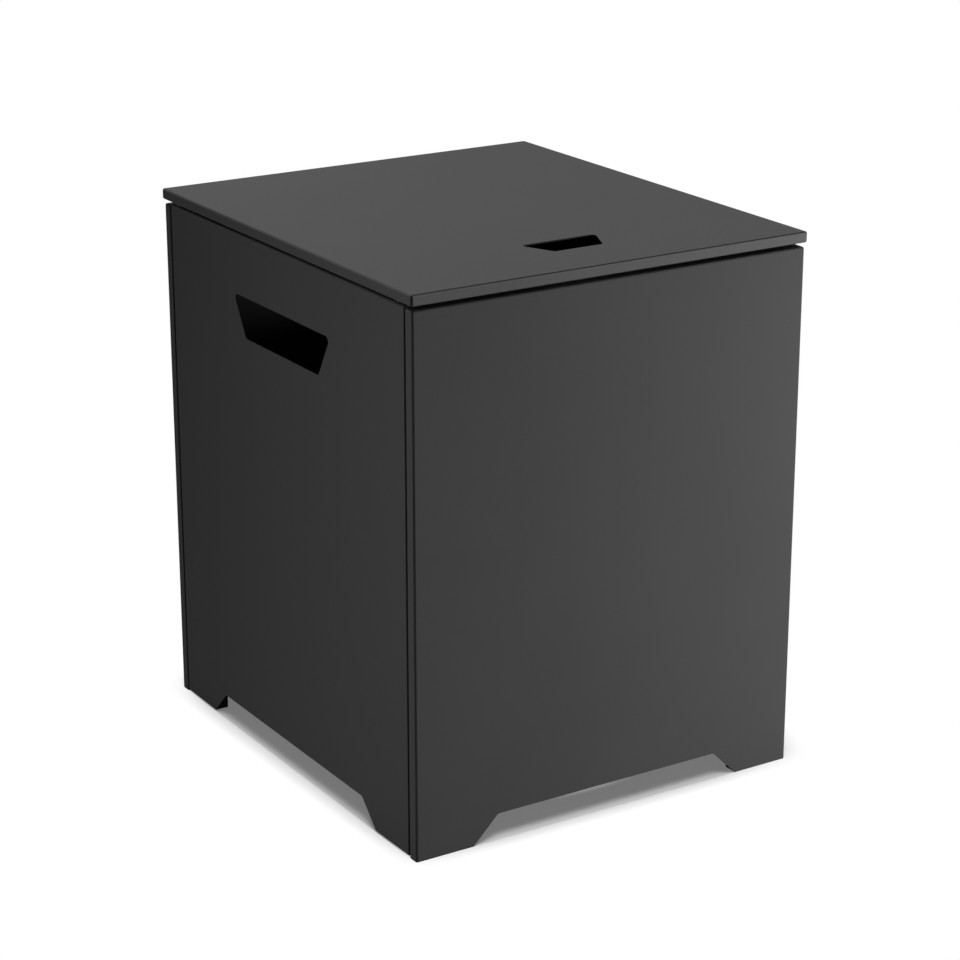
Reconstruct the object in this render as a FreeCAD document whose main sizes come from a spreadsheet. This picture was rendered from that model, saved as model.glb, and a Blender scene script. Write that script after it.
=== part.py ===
import FreeCAD, Part
import os
import Sketcher

from FreeCAD import Placement, Rotation, Vector

# Propane tank cover table: a folded sheet steel box that stands over a gas bottle, with a lift-off lid
# Frame: X right along the front panel, Y to the back, Z up, origin on the floor under the lid's middle

os.makedirs("parts", exist_ok=True)
doc = FreeCAD.newDocument("tank_cover_table")

# Driving dimensions in millimetres, each with what it measures
DIMENSIONS = {
    "lid_width": (406.4, "over the lid, left to right, 16 inches"),
    "lid_depth": (457.2, "over the lid, front to back, 18 inches"),
    "overall_height": (508.0, "floor to the top of the lid, 20 inches"),
    "lid_overhang": (1.7, "lid past the body on every side"),
    "lid_skirt": (10.0, "height of the lid's folded edge"),
    "lid_gap": (4.0, "open gap between the front panel and the lid"),
    "lid_sheet": (1.5, "sheet of the lid"),
    "lid_lip": (12.0, "lip folded in under the lid's edge"),
    "lid_corner": (2.5, "radius of the lid's upright corners"),
    "lid_bend": (1.8, "radius of the lid's level bends"),
    "body_sheet": (1.2, "sheet of the body panels"),
    "body_bend": (2.0, "outer radius of the body's bends"),
    "inner_bend": (0.8, "inner radius of the body's bends"),
    "seam_offset": (12.2, "front or back face to the corner seam"),
    "flange_width": (15.3, "lips folded in along the panels' edges"),
    "lip_relief": (3.0, "a lip stops below the top"),
    "side_lift": (1.5, "side panels stand higher than the front panel"),
    "arch_rise": (25.4, "height of the arches between the feet"),
    "arch_slope": (25.4, "run of an arch's sloping end"),
    "arch_corner": (5.0, "radius at the top of an arch's ends"),
    "foot_corner": (2.0, "radius at the inner end of a foot"),
    "front_foot": (58.4, "side face to the arch in the front panel"),
    "side_foot": (69.2, "front face to the arch in the side panel"),
    "handle_length": (177.8, "hand slot, upper edge"),
    "handle_height": (38.6, "hand slot, upper to lower edge"),
    "handle_slope": (21.6, "run of the hand slot's sloping end"),
    "handle_drop": (55.6, "top of the body to the hand slot"),
    "finger_length": (79.6, "finger slot, rear edge"),
    "finger_width": (33.2, "finger slot, front to rear"),
    "finger_slope": (14.7, "run of the finger slot's sloping end"),
    "finger_setback": (59.2, "lid's front edge to the finger slot"),
    "slot_corner": (4.3, "corner radius of the slots"),
    "channel_height": (60.0, "height of the foot channels"),
    "channel_width": (42.0, "foot channels over their legs"),
    "screw_diameter": (5.0, "thread of the seam screws"),
    "screw_length": (8.0, "seam screw below its head"),
    "screw_head": (9.5, "head of the seam screws"),
    "screw_head_height": (2.8, "height of that head"),
    "screw_head_round": (1.6, "rounding of that head"),
    "key_width": (3.0, "hexagon socket across its flats"),
    "key_depth": (1.6, "depth of the hexagon socket"),
    "screw_hole": (5.5, "holes for the seam screws"),
    "screw_inset": (9.0, "side face to the row of screws"),
    "screw_low": (85.0, "floor to the lowest screws"),
    "screw_high": (410.0, "floor to the highest screws"),
    "washer_diameter": (10.0, "washers under the screw heads"),
    "washer_thickness": (1.0, "thickness of these washers"),
    "nut_width": (8.0, "weld nuts across their flats"),
    "nut_height": (4.0, "height of the weld nuts"),
    "thread_play": (0.05, "screw to nut, on the radius"),
    "stiffener_sheet": (1.2, "sheet of the lid's stiffeners"),
    "stiffener_web": (25.0, "width of a stiffener's web"),
    "stiffener_wing": (10.0, "width of a stiffener's welded wings"),
    "stiffener_reach": (16.0, "a stiffener below the top of the body"),
    "lid_play": (2.0, "stiffeners to the body's top, each side"),
    "bumper_diameter": (8.0, "foot of the rubber bumpers"),
    "bumper_stem": (4.0, "stem of the rubber bumpers"),
    "bumper_barb": (6.0, "barb of the rubber bumpers"),
    "bumper_barb_height": (2.4, "height of that barb"),
    "bumper_play": (0.1, "bumper to its hole, on the radius"),
    "bumper_inset": (7.7, "lid's side edge to the bumpers"),
    "bumper_setback": (28.0, "lid's front edge to the bumpers"),
    "cut_margin": (1.0, "cuts run past the faces that they open"),
}

sheet = doc.addObject("Spreadsheet::Sheet", "dims")
for row, (alias, (value, meaning)) in enumerate(DIMENSIONS.items(), 1):
    sheet.set(f"A{row}", meaning)
    sheet.set(f"B{row}", str(value))
    sheet.setAlias(f"B{row}", alias)
doc.recompute()

# Lengths worked out from the cells, as formulas that the sketches are bound to
HALF_LID_X = "(dims.lid_width / 2)"
HALF_LID_Y = "(dims.lid_depth / 2)"
HALF_X = f"({HALF_LID_X} - dims.lid_overhang)"
HALF_Y = f"({HALF_LID_Y} - dims.lid_overhang)"
LID_BOTTOM = "(dims.overall_height - dims.lid_skirt)"
LIP_TOP = f"({LID_BOTTOM} + dims.lid_sheet)"
LID_UNDERSIDE = "(dims.overall_height - dims.lid_sheet)"
BODY_TOP = f"({LID_BOTTOM} - dims.lid_gap)"
TOP_INSIDE = f"({BODY_TOP} - dims.body_sheet)"
SIDE_TOP = f"({BODY_TOP} + dims.side_lift)"
SIDE_TOP_INSIDE = f"({SIDE_TOP} - dims.body_sheet)"
BUMPER_FOOT = "(dims.lid_gap - dims.side_lift)"
SEAM_Y = f"({HALF_Y} - dims.seam_offset)"
WALL_X = f"({HALF_X} - dims.body_sheet)"
WALL_Y = f"({HALF_Y} - dims.body_sheet)"
OPENING_X = f"({HALF_X} - dims.flange_width)"
SCREW_X = f"({HALF_X} - dims.screw_inset)"
SCREW_HEIGHTS = ["dims.screw_low", "(dims.screw_low + dims.screw_high) / 2", "dims.screw_high"]
BELOW_FLOOR = "(-dims.cut_margin)"
HALF_TURN = Rotation(Vector(0, 0, 1), 180)
NO_TURN = Rotation()


def size(formula):
    """The number that a formula on the cells gives."""
    return float(sheet.evalExpression(formula))


def new_body(name):
    body = doc.addObject("PartDesign::Body", name)
    body.Label = name
    return body


def new_sketch(body, name, plane, offset):
    """A sketch on one of the body's origin planes, moved along that plane's normal."""
    sketch = body.newObject("Sketcher::SketchObject", f"{body.Name}_{name}_sketch")
    support = [feature for feature in body.Origin.OriginFeatures if feature.Role == plane][0]
    sketch.AttachmentSupport = [(support, "")]
    sketch.MapMode = "FlatFace"
    sketch.setExpression("AttachmentOffset.Base.z", offset)
    return sketch


def bind(sketch, label, formula, *constraint):
    """Add a sized constraint that follows a formula."""
    number = sketch.addConstraint(Sketcher.Constraint(*constraint, size(formula)))
    sketch.renameConstraint(number, label)
    sketch.setExpression(f"Constraints.{label}", formula)


def draw_outline(sketch, corners):
    """A closed outline of straight lines, each corner bound to its two formulas."""
    points = [Vector(size(u), size(v), 0) for u, v in corners]
    count = len(points)
    for i in range(count):
        sketch.addGeometry(Part.LineSegment(points[i], points[(i + 1) % count]), False)
    for i in range(count):
        sketch.addConstraint(Sketcher.Constraint("Coincident", i, 2, (i + 1) % count, 1))
    for i, (u, v) in enumerate(corners):
        bind(sketch, f"across_{i}", u, "DistanceX", -1, 1, i, 1)
        bind(sketch, f"up_{i}", v, "DistanceY", -1, 1, i, 1)


def draw_circles(sketch, centres, radius):
    """Circles of one radius, each centre bound to its two formulas."""
    for i, (u, v) in enumerate(centres):
        middle = Vector(size(u), size(v), 0)
        sketch.addGeometry(Part.Circle(middle, Vector(0, 0, 1), size(radius)), False)
        bind(sketch, f"radius_{i}", radius, "Radius", i)
        bind(sketch, f"across_{i}", u, "DistanceX", -1, 1, i, 3)
        bind(sketch, f"up_{i}", v, "DistanceY", -1, 1, i, 3)


def extrude(body, kind, name, sketch, length):
    """Pad or pocket a sketch along its normal, and stop if the volume went the wrong way."""
    before = body.Shape.Volume if body.Tip else 0.0
    feature = body.newObject(f"PartDesign::{kind}", f"{body.Name}_{name}")
    feature.Profile = sketch
    feature.setExpression("Length", length)
    feature.Reversed = kind == "Pocket"
    doc.recompute()
    body.Tip = feature
    change = feature.Shape.Volume - before
    if change * (1 if kind == "Pad" else -1) <= 0:
        raise RuntimeError(f"{feature.Name} changed the volume by {change:.3f}")


def pad_outline(body, name, plane, corners, start, length):
    sketch = new_sketch(body, name, plane, start)
    draw_outline(sketch, corners)
    extrude(body, "Pad", name, sketch, length)


def cut_outline(body, name, plane, corners, start, length):
    sketch = new_sketch(body, name, plane, start)
    draw_outline(sketch, corners)
    extrude(body, "Pocket", name, sketch, length)


def pad_disc(body, name, plane, radius, start, length):
    sketch = new_sketch(body, name, plane, start)
    draw_circles(sketch, [("0", "0")], radius)
    extrude(body, "Pad", name, sketch, length)


def cut_holes(body, name, plane, centres, radius, start, length):
    sketch = new_sketch(body, name, plane, start)
    draw_circles(sketch, centres, radius)
    extrude(body, "Pocket", name, sketch, length)


def rectangle(low, high):
    return [(low[0], low[1]), (high[0], low[1]), (high[0], high[1]), (low[0], high[1])]


def pad_box(body, name, low, high):
    """An upright block between two corners, each given by three formulas."""
    pad_outline(body, name, "XY_Plane", rectangle(low, high), low[2], f"{high[2]} - {low[2]}")


def cut_box(body, name, low, high):
    """Cut an upright block out between two corners, each given by three formulas."""
    cut_outline(body, name, "XY_Plane", rectangle(low, high), low[2], f"{high[2]} - {low[2]}")


def trapezoid(half_long, slope, long_side, short_side):
    """Corners of an even trapezoid with its long side at one height and its short one at another."""
    half_short = f"({half_long} - {slope})"
    return [
        (f"(-1 * {half_long})", long_side),
        (half_long, long_side),
        (half_short, short_side),
        (f"(-1 * {half_short})", short_side),
    ]


def hexagon(width):
    """Corners of a hexagon that has this width across its flats."""
    corner = f"({width} / sqrt(3))"
    flat = f"({width} / 2)"
    return [
        ("0", corner),
        (flat, f"({corner} / 2)"),
        (flat, f"(-1 * {corner} / 2)"),
        ("0", f"(-1 * {corner})"),
        (f"(-1 * {flat})", f"(-1 * {corner} / 2)"),
        (f"(-1 * {flat})", f"({corner} / 2)"),
    ]


def at(value, *formulas):
    """True if a coordinate lies where one of the formulas says, on either side of the middle."""
    return any(abs(abs(value) - size(formula)) < 0.001 for formula in formulas)


def runs_along(edge, axis):
    """True if an edge is a straight line along an axis."""
    if edge.Degenerated or not isinstance(edge.Curve, Part.Line):
        return False
    return abs(abs(getattr(edge.Curve.Direction, axis)) - 1.0) < 0.000001


def round_edges(body, name, radius, wanted, count):
    """Round the edges that pass a test, and stop if their number is not the one meant."""
    base = body.Tip
    names = [f"Edge{i}" for i, edge in enumerate(base.Shape.Edges, 1) if wanted(edge)]
    if len(names) != count:
        raise RuntimeError(f"{body.Name} {name} found {len(names)} edges, not {count}")
    fillet = body.newObject("PartDesign::Fillet", f"{body.Name}_{name}")
    fillet.Base = (base, names)
    fillet.setExpression("Radius", radius)
    doc.recompute()
    body.Tip = fillet


def end_panel(name, turn):
    """Front panel, or back panel when turned: a pan with short returns and lips behind them."""
    body = new_body(name)
    pad_box(
        body, "block",
        (f"-1 * {HALF_X}", f"-1 * {HALF_Y}", "0"),
        (HALF_X, f"-1 * {SEAM_Y}", BODY_TOP),
    )

    def outer_bend(edge):
        middle = edge.CenterOfMass
        if runs_along(edge, "z"):
            return True
        if not at(middle.z, BODY_TOP):
            return False
        return runs_along(edge, "y") or (runs_along(edge, "x") and at(middle.y, HALF_Y))

    round_edges(body, "outer_bends", "dims.body_bend", outer_bend, 7)
    cut_box(
        body, "inside",
        (f"-1 * {WALL_X}", f"-1 * {WALL_Y}", BELOW_FLOOR),
        (WALL_X, f"-1 * ({SEAM_Y} + dims.body_sheet)", TOP_INSIDE),
    )

    def inner_bend(edge):
        middle = edge.CenterOfMass
        if runs_along(edge, "z"):
            return at(middle.x, WALL_X)
        if not at(middle.z, TOP_INSIDE):
            return False
        return runs_along(edge, "y") or (runs_along(edge, "x") and at(middle.y, WALL_Y))

    round_edges(body, "inner_bends", "dims.inner_bend", inner_bend, 7)
    cut_box(
        body, "opening",
        (f"-1 * {OPENING_X}", f"-1 * ({SEAM_Y} + dims.body_sheet)", BELOW_FLOOR),
        (OPENING_X, f"-1 * ({SEAM_Y} - dims.cut_margin)", TOP_INSIDE),
    )
    for side, sign in (("left", "-1"), ("right", "1")):
        cut_box(
            body, f"{side}_relief",
            (f"{sign} * ({OPENING_X} - dims.cut_margin)", f"-1 * ({SEAM_Y} + dims.body_sheet)",
             f"({TOP_INSIDE} - dims.lip_relief)"),
            (f"{sign} * ({HALF_X} - dims.body_bend)", f"-1 * ({SEAM_Y} - dims.cut_margin)", TOP_INSIDE),
        )
    cut_outline(
        body, "arch", "XZ_Plane",
        trapezoid(f"({HALF_X} - dims.front_foot)", "dims.arch_slope", "0", "dims.arch_rise"),
        f"({WALL_Y} - dims.cut_margin)", "dims.body_sheet + 2 * dims.cut_margin",
    )

    def arch_top(edge):
        return runs_along(edge, "y") and at(edge.CenterOfMass.z, "dims.arch_rise")

    def foot_end(edge):
        at_foot = at(edge.CenterOfMass.x, f"({HALF_X} - dims.front_foot)")
        return runs_along(edge, "y") and at_foot and at(edge.CenterOfMass.z, "0")

    round_edges(body, "arch_corners", "dims.arch_corner", arch_top, 2)
    round_edges(body, "foot_corners", "dims.foot_corner", foot_end, 2)
    centres = [(f"{sign} * {SCREW_X}", height) for sign in ("-1", "1") for height in SCREW_HEIGHTS]
    cut_holes(
        body, "screw_holes", "XZ_Plane", centres, "dims.screw_hole / 2",
        f"({SEAM_Y} - dims.cut_margin)", "dims.body_sheet + 2 * dims.cut_margin",
    )
    body.Placement = Placement(Vector(), turn)
    return body


def side_panel(name, turn):
    """Left panel, or right panel when turned: a pan that is open towards the inside."""
    body = new_body(name)
    pad_box(
        body, "block",
        (f"-1 * {HALF_X}", f"-1 * {SEAM_Y}", "dims.side_lift"),
        (f"-1 * {OPENING_X}", SEAM_Y, SIDE_TOP),
    )

    def outer_bend(edge):
        middle = edge.CenterOfMass
        if not at(middle.x, HALF_X):
            return False
        return runs_along(edge, "z") or (runs_along(edge, "y") and at(middle.z, SIDE_TOP))

    round_edges(body, "outer_bends", "dims.body_bend", outer_bend, 3)
    past_lips = f"-1 * ({OPENING_X} - dims.cut_margin)"
    cut_box(
        body, "inside",
        (f"-1 * {WALL_X}", f"-1 * ({SEAM_Y} - dims.body_sheet)", BELOW_FLOOR),
        (past_lips, f"({SEAM_Y} - dims.body_sheet)", SIDE_TOP_INSIDE),
    )

    def inner_bend(edge):
        middle = edge.CenterOfMass
        if not at(middle.x, WALL_X):
            return False
        return runs_along(edge, "z") or (runs_along(edge, "y") and at(middle.z, SIDE_TOP_INSIDE))

    round_edges(body, "inner_bends", "dims.inner_bend", inner_bend, 3)
    for end, sign in (("front", "-1"), ("back", "1")):
        cut_box(
            body, f"{end}_relief",
            (f"-1 * ({HALF_X} - dims.body_bend)", f"{sign} * ({SEAM_Y} - dims.body_sheet)",
             f"({SIDE_TOP_INSIDE} - dims.lip_relief)"),
            (past_lips, f"{sign} * ({SEAM_Y} + dims.cut_margin)", SIDE_TOP_INSIDE),
        )
    from_face = f"-1 * ({HALF_X} + dims.cut_margin)"
    through = "dims.body_sheet + 2 * dims.cut_margin"
    cut_outline(
        body, "arch", "YZ_Plane",
        trapezoid(f"({HALF_Y} - dims.side_foot)", "dims.arch_slope", "0", "dims.arch_rise"),
        from_face, through,
    )
    slot_top = f"({BODY_TOP} - dims.handle_drop)"
    slot_bottom = f"({slot_top} - dims.handle_height)"
    cut_outline(
        body, "hand_slot", "YZ_Plane",
        trapezoid("(dims.handle_length / 2)", "dims.handle_slope", slot_top, slot_bottom),
        from_face, through,
    )

    def arch_top(edge):
        return runs_along(edge, "x") and at(edge.CenterOfMass.z, "dims.arch_rise")

    foot_y = f"({HALF_Y} - dims.side_foot - dims.side_lift * dims.arch_slope / dims.arch_rise)"

    def foot_end(edge):
        at_foot = at(edge.CenterOfMass.y, foot_y)
        return runs_along(edge, "x") and at_foot and at(edge.CenterOfMass.z, "dims.side_lift")

    def slot_end(edge):
        return runs_along(edge, "x") and at(edge.CenterOfMass.z, slot_top, slot_bottom)

    round_edges(body, "arch_corners", "dims.arch_corner", arch_top, 2)
    round_edges(body, "foot_corners", "dims.foot_corner", foot_end, 2)
    round_edges(body, "slot_corners", "dims.slot_corner", slot_end, 4)
    centres = [(f"-1 * {SCREW_X}", height) for height in SCREW_HEIGHTS]
    for end, start in (("front", f"({SEAM_Y} - dims.body_sheet)"), ("back", f"-1 * {SEAM_Y}")):
        cut_holes(
            body, f"{end}_screw_holes", "XZ_Plane", centres, "dims.screw_hole / 2",
            f"({start} - dims.cut_margin)", "dims.body_sheet + 2 * dims.cut_margin",
        )
    body.Placement = Placement(Vector(), turn)
    return body


def lid_tray():
    """The lid: a shallow tray, upside down, with lips folded in under its edge."""
    body = new_body("lid_panel")
    pad_box(
        body, "block",
        (f"-1 * {HALF_LID_X}", f"-1 * {HALF_LID_Y}", LID_BOTTOM),
        (HALF_LID_X, HALF_LID_Y, "dims.overall_height"),
    )
    round_edges(body, "corners", "dims.lid_corner", lambda edge: runs_along(edge, "z"), 4)

    def level_bend(edge):
        return runs_along(edge, "x") or runs_along(edge, "y")

    round_edges(body, "bends", "dims.lid_bend", level_bend, 8)
    lip_x = f"({HALF_LID_X} - dims.lid_lip)"
    lip_y = f"({HALF_LID_Y} - dims.lid_lip)"
    cut_box(
        body, "opening",
        (f"-1 * {lip_x}", f"-1 * {lip_y}", f"({LID_BOTTOM} - dims.cut_margin)"),
        (lip_x, lip_y, LID_UNDERSIDE),
    )
    inside_x = f"({HALF_LID_X} - dims.lid_sheet)"
    inside_y = f"({HALF_LID_Y} - dims.lid_sheet)"
    cut_box(
        body, "inside",
        (f"-1 * {inside_x}", f"-1 * {inside_y}", LIP_TOP),
        (inside_x, inside_y, LID_UNDERSIDE),
    )
    slot_front = f"(dims.finger_setback - {HALF_LID_Y})"
    slot_rear = f"({slot_front} + dims.finger_width)"
    cut_outline(
        body, "finger_slot", "XY_Plane",
        trapezoid("(dims.finger_length / 2)", "dims.finger_slope", slot_rear, slot_front),
        f"({LID_UNDERSIDE} - dims.cut_margin)", "dims.lid_sheet + 2 * dims.cut_margin",
    )

    def slot_end(edge):
        at_slot = at(edge.CenterOfMass.y, f"(-1 * {slot_rear})", f"(-1 * {slot_front})")
        return runs_along(edge, "z") and at_slot

    round_edges(body, "slot_corners", "dims.slot_corner", slot_end, 4)
    across = f"({HALF_LID_X} - dims.bumper_inset)"
    along = f"({HALF_LID_Y} - dims.bumper_setback)"
    centres = [(f"{i} * {across}", f"{j} * {along}") for i in (-1, 1) for j in (-1, 1)]
    cut_holes(
        body, "bumper_holes", "XY_Plane", centres, "(dims.bumper_stem / 2 + dims.bumper_play)",
        f"({LID_BOTTOM} - dims.cut_margin)", "dims.lid_sheet + 2 * dims.cut_margin",
    )
    return body


def lid_stiffener(name, turn):
    """A hat-shaped channel welded under the lid, whose outer side keeps the lid from sliding off."""
    body = new_body(name)
    outer = f"({OPENING_X} - dims.lid_play)"
    inner = f"({outer} - dims.stiffener_web)"
    half_length = f"({SEAM_Y} - dims.lid_play)"
    bottom = f"({BODY_TOP} - dims.stiffener_reach)"
    pad_box(
        body, "wings",
        (f"-1 * ({outer} + dims.stiffener_wing)", f"-1 * {half_length}",
         f"({LID_UNDERSIDE} - dims.stiffener_sheet)"),
        (f"-1 * ({inner} - dims.stiffener_wing)", half_length, LID_UNDERSIDE),
    )
    pad_box(
        body, "channel",
        (f"-1 * {outer}", f"-1 * {half_length}", bottom),
        (f"-1 * {inner}", half_length, LID_UNDERSIDE),
    )

    def web_bend(edge):
        return runs_along(edge, "y") and at(edge.CenterOfMass.z, bottom)

    round_edges(body, "web_bends", "dims.body_bend", web_bend, 2)
    cut_box(
        body, "hollow",
        (f"-1 * ({outer} - dims.stiffener_sheet)", f"-1 * ({half_length} + dims.cut_margin)",
         f"({bottom} + dims.stiffener_sheet)"),
        (f"-1 * ({inner} + dims.stiffener_sheet)", f"({half_length} + dims.cut_margin)",
         f"({LID_UNDERSIDE} + dims.cut_margin)"),
    )

    def hollow_bend(edge):
        return runs_along(edge, "y") and at(edge.CenterOfMass.z, f"({bottom} + dims.stiffener_sheet)")

    round_edges(body, "hollow_bends", "dims.inner_bend", hollow_bend, 2)
    body.Placement = Placement(Vector(), turn)
    return body


def lid_bumper(name, x_sign, y_sign):
    """A push-in rubber bumper: a foot under the lip, a stem through it and a barb above it."""
    body = new_body(name)
    pad_disc(body, "foot", "XY_Plane", "dims.bumper_diameter / 2", "0", BUMPER_FOOT)
    pad_disc(body, "stem", "XY_Plane", "dims.bumper_stem / 2", BUMPER_FOOT, "dims.lid_sheet")
    barb_bottom = f"({BUMPER_FOOT} + dims.lid_sheet)"
    pad_disc(
        body, "barb", "XY_Plane", "dims.bumper_barb / 2", barb_bottom, "dims.bumper_barb_height",
    )

    def barb_rim(edge):
        return at(edge.CenterOfMass.z, f"({barb_bottom} + dims.bumper_barb_height)")

    round_edges(body, "barb_rim", "dims.bumper_barb_height / 2", barb_rim, 1)
    body.setExpression("Placement.Base.x", f"{x_sign} * ({HALF_LID_X} - dims.bumper_inset)")
    body.setExpression("Placement.Base.y", f"{y_sign} * ({HALF_LID_Y} - dims.bumper_setback)")
    body.setExpression("Placement.Base.z", SIDE_TOP)
    return body


def foot_channel(name, wall, web, near_leg, far_leg):
    """An upright channel behind a foot. Each argument holds the formulas of a flat side's X or Y."""
    body = new_body(name)
    across, wall_face, wall_sign = wall
    web_face, web_inside = web
    near_face, near_inside = near_leg
    far_face, far_inside = far_leg

    def corner(depth, along, height):
        depth = f"{wall_sign} * {depth}"
        return (depth, along, height) if across == "x" else (along, depth, height)

    pad_box(
        body, "block",
        corner(wall_face, near_face, "0"),
        corner(web_face, far_face, "dims.channel_height"),
    )

    def web_bend(edge):
        depth = getattr(edge.CenterOfMass, across)
        return runs_along(edge, "z") and at(depth, web_face)

    round_edges(body, "web_bends", "dims.body_bend", web_bend, 2)
    cut_box(
        body, "hollow",
        corner(f"({wall_face} + dims.cut_margin)", near_inside, BELOW_FLOOR),
        corner(web_inside, far_inside, "(dims.channel_height + dims.cut_margin)"),
    )

    def hollow_bend(edge):
        depth = getattr(edge.CenterOfMass, across)
        return runs_along(edge, "z") and at(depth, web_inside)

    round_edges(body, "hollow_bends", "dims.inner_bend", hollow_bend, 2)
    return body


def side_foot_channel(name, x_sign, y_sign):
    near = f"({HALF_Y} - dims.side_foot)"
    far = f"({near} + dims.channel_width)"
    return foot_channel(
        name,
        ("x", WALL_X, x_sign),
        (OPENING_X, f"({OPENING_X} + dims.body_sheet)"),
        (f"{y_sign} * {near}", f"{y_sign} * ({near} + dims.body_sheet)"),
        (f"{y_sign} * {far}", f"{y_sign} * ({far} - dims.body_sheet)"),
    )


def end_foot_channel(name, x_sign, y_sign):
    near = f"({HALF_X} - dims.front_foot)"
    far = f"({near} + dims.channel_width)"
    web = f"({HALF_Y} - dims.flange_width)"
    return foot_channel(
        name,
        ("y", WALL_Y, y_sign),
        (web, f"({web} + dims.body_sheet)"),
        (f"{x_sign} * {near}", f"{x_sign} * ({near} + dims.body_sheet)"),
        (f"{x_sign} * {far}", f"{x_sign} * ({far} - dims.body_sheet)"),
    )


def seam_screw():
    """Pattern for the seam screws: the head's bearing face at Y = 0, the shank towards the front."""
    body = new_body("seam_screw_pattern")
    pad_disc(
        body, "head", "XZ_Plane", "dims.screw_head / 2",
        "(-1 * dims.screw_head_height)", "dims.screw_head_height",
    )

    def head_rim(edge):
        return at(edge.CenterOfMass.y, "dims.screw_head_height")

    round_edges(body, "head_round", "dims.screw_head_round", head_rim, 1)
    pad_disc(body, "shank", "XZ_Plane", "dims.screw_diameter / 2", "0", "dims.screw_length")
    cut_outline(
        body, "socket", "XZ_Plane", hexagon("dims.key_width"),
        "(-1 * dims.screw_head_height - dims.cut_margin)", "(dims.key_depth + dims.cut_margin)",
    )
    return body


def seam_washer():
    """Pattern for the washers: bearing on the lip at Y = 0, towards the inside."""
    body = new_body("seam_washer_pattern")
    pad_disc(
        body, "disc", "XZ_Plane", "dims.washer_diameter / 2",
        "(-1 * dims.washer_thickness)", "dims.washer_thickness",
    )
    cut_holes(
        body, "hole", "XZ_Plane", [("0", "0")], "dims.screw_hole / 2",
        "(-1 * dims.washer_thickness - dims.cut_margin)", "dims.washer_thickness + 2 * dims.cut_margin",
    )
    return body


def seam_nut():
    """Pattern for the weld nuts: welded to the lip at Y = 0, towards the front."""
    body = new_body("seam_nut_pattern")
    pad_outline(body, "hexagon", "XZ_Plane", hexagon("dims.nut_width"), "0", "dims.nut_height")
    cut_holes(
        body, "bore", "XZ_Plane", [("0", "0")], "(dims.screw_diameter / 2 + dims.thread_play)",
        "(-1 * dims.cut_margin)", "dims.nut_height + 2 * dims.cut_margin",
    )
    return body


def seam_group(name, pattern, x_sign, y_sign, depth):
    """Three copies of a pattern up one corner seam, as separate solids in one node."""
    turn = NO_TURN if y_sign < 0 else HALF_TURN
    copies = []
    for number, height in enumerate(SCREW_HEIGHTS, 1):
        copy = doc.addObject("App::Link", f"{name}_{number}")
        copy.LinkedObject = pattern
        copy.Placement = Placement(Vector(), turn)
        copy.setExpression("Placement.Base.x", f"{x_sign} * {SCREW_X}")
        copy.setExpression("Placement.Base.y", f"{y_sign} * {depth}")
        copy.setExpression("Placement.Base.z", height)
        copies.append(copy)
    group = doc.addObject("Part::Compound", name)
    group.Label = name
    group.Links = copies
    return group


# The body's four folded panels
nodes = [end_panel("front_panel", NO_TURN), end_panel("back_panel", HALF_TURN)]
nodes += [side_panel("left_side_panel", NO_TURN), side_panel("right_side_panel", HALF_TURN)]

# A channel behind each foot of each panel
CORNERS = (("front_left", -1, -1), ("front_right", 1, -1), ("back_left", -1, 1), ("back_right", 1, 1))
for corner_name, x_side, y_side in CORNERS:
    nodes.append(side_foot_channel(f"side_foot_channel_{corner_name}", x_side, y_side))
    nodes.append(end_foot_channel(f"end_foot_channel_{corner_name}", x_side, y_side))

# Screws, washers and weld nuts that clamp the lips together at each corner seam
screw_pattern = seam_screw()
washer_pattern = seam_washer()
nut_pattern = seam_nut()
WASHER_SEAT = f"({SEAM_Y} - dims.body_sheet)"
SCREW_SEAT = f"({WASHER_SEAT} - dims.washer_thickness)"
NUT_SEAT = f"({SEAM_Y} + dims.body_sheet)"
for corner_name, x_side, y_side in CORNERS:
    nodes.append(seam_group(f"seam_screws_{corner_name}", screw_pattern, x_side, y_side, SCREW_SEAT))
    nodes.append(seam_group(f"seam_washers_{corner_name}", washer_pattern, x_side, y_side, WASHER_SEAT))
    nodes.append(seam_group(f"seam_nuts_{corner_name}", nut_pattern, x_side, y_side, NUT_SEAT))

# The lid, its two stiffeners and its four bumpers
nodes.append(lid_tray())
nodes.append(lid_stiffener("lid_stiffener_left", NO_TURN))
nodes.append(lid_stiffener("lid_stiffener_right", HALF_TURN))
for corner_name, x_side, y_side in CORNERS:
    nodes.append(lid_bumper(f"lid_bumper_{corner_name}", x_side, y_side))

doc.recompute()

# Stop if anything failed to build, then write one file for each node
for item in doc.Objects:
    if "Invalid" in item.State or "Error" in item.State:
        raise RuntimeError(f"{item.Name} failed to build: {item.State}")
for node in nodes:
    shape = node.Shape
    if shape.isNull() or not shape.isValid() or not shape.Solids:
        raise RuntimeError(f"{node.Label} has no valid solid")
    shape.exportStep(f"parts/{node.Label}.step")
    box = shape.BoundBox
    print(
        f"{node.Label}: {len(shape.Solids)} solid(s), {shape.Volume:.1f} mm3, "
        f"x {box.XMin:.1f} to {box.XMax:.1f}, y {box.YMin:.1f} to {box.YMax:.1f}, "
        f"z {box.ZMin:.1f} to {box.ZMax:.1f}"
    )
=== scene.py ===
# %% [markdown]
# This lesson dresses a propane tank cover table. It is a box of folded sheet steel that hides a
# gas bottle on a patio, with a flat lid that lifts off and serves as a side table. The shape and
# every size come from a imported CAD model, which is loaded first and never moved. The lesson adds
# what a maker sees up close: the powder coat, the rounded cut edges, the screws with their
# threads, the weld nuts, the stitch and spot welds and the rubber bumpers.

# %% Load the fixed frame
import math

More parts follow.
